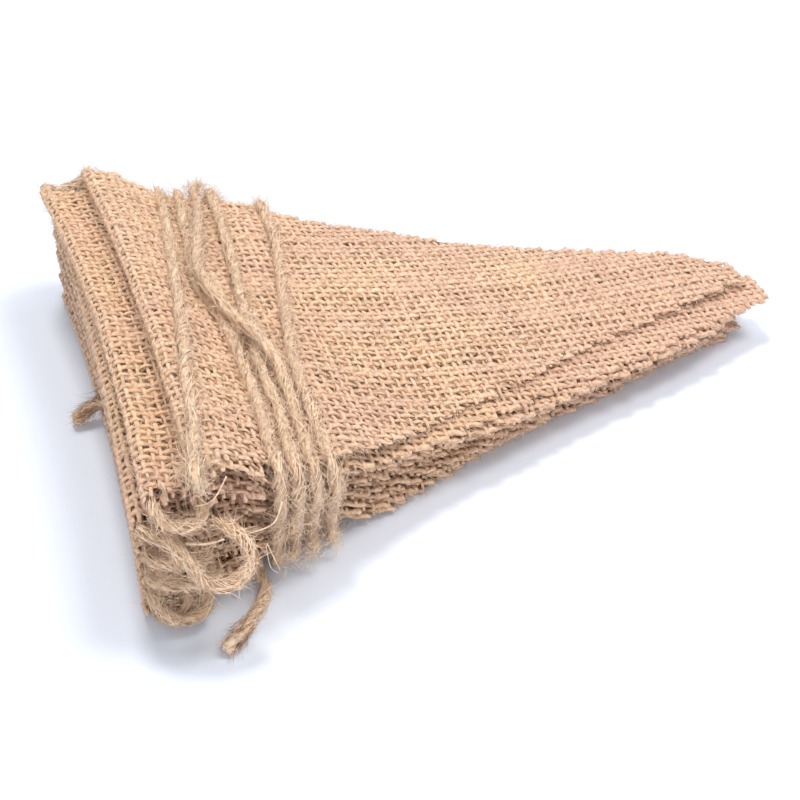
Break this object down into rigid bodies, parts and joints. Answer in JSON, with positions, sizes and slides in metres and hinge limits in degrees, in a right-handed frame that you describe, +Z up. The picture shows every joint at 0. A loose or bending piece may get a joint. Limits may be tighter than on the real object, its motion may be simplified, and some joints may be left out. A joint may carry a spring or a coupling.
{
  "type": "fabric bunting",
  "caption": "Triangular burlap pennants strung on jute twine through their hems and stacked, with the rest of the twine wound round the stack and its frayed ends free.",
  "frame": {"origin": "middle of the pennants' footprint, on the surface that the stack rests on", "axes": "+X from the hems to the tips, +Y towards the far ends of the hems, +Z up"},
  "size_m": [0.2028, 0.17, 0.0511],
  "materials": {
    "burlap": "matte open plain weave",
    "jute_twine": "matte hairy twist"
  },
  "bodies": {
    "root": {"pennant_01": "burlap", "pennant_02": "burlap", "pennant_03": "burlap", "pennant_04": "burlap", "pennant_05": "burlap", "pennant_06": "burlap", "pennant_07": "burlap", "pennant_08": "burlap", "pennant_09": "burlap", "pennant_10": "burlap", "pennant_11": "burlap", "pennant_12": "burlap", "twine_hems_1": "jute_twine", "twine_hems_2": "jute_twine", "twine_hems_3": "jute_twine", "twine_winding_1": "jute_twine", "twine_winding_2": "jute_twine", "twine_winding_3": "jute_twine", "twine_winding_4": "jute_twine"}
  },
  "joints": []
}
